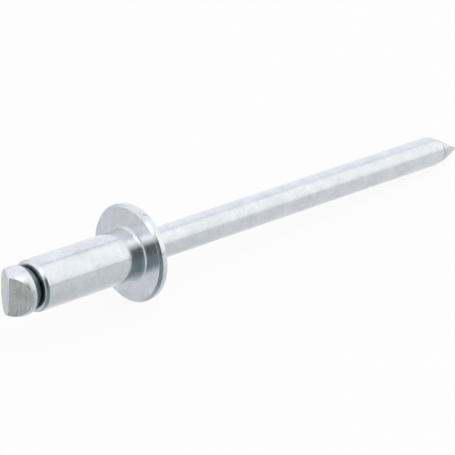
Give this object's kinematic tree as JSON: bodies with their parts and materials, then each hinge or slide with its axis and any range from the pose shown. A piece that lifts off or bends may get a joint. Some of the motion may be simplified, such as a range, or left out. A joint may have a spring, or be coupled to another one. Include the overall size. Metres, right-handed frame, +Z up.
{
  "type": "blind rivet",
  "caption": "Open-end blind rivet with a low dome flange, unset, with its long pulling mandrel in place; it fastens sheets from one side.",
  "frame": {"origin": "centre of the flange's underside, on the rivet's axis", "axes": "+X along the lying rivet, from its head end to the stem's tip; the axis itself leans 4.6 degrees down towards the tip, as the rivet rests on its flange's rim and on its stem; +Z up"},
  "size_m": [0.0569, 0.0092, 0.0092],
  "materials": {
    "plated_body": "bright zinc plating over cold-formed steel, tumbled satin",
    "plated_wire": "bright zinc plating over drawn steel wire, fine grained satin"
  },
  "bodies": {
    "root": {"rivet_body": "plated_body", "mandrel": "plated_wire"}
  },
  "joints": []
}
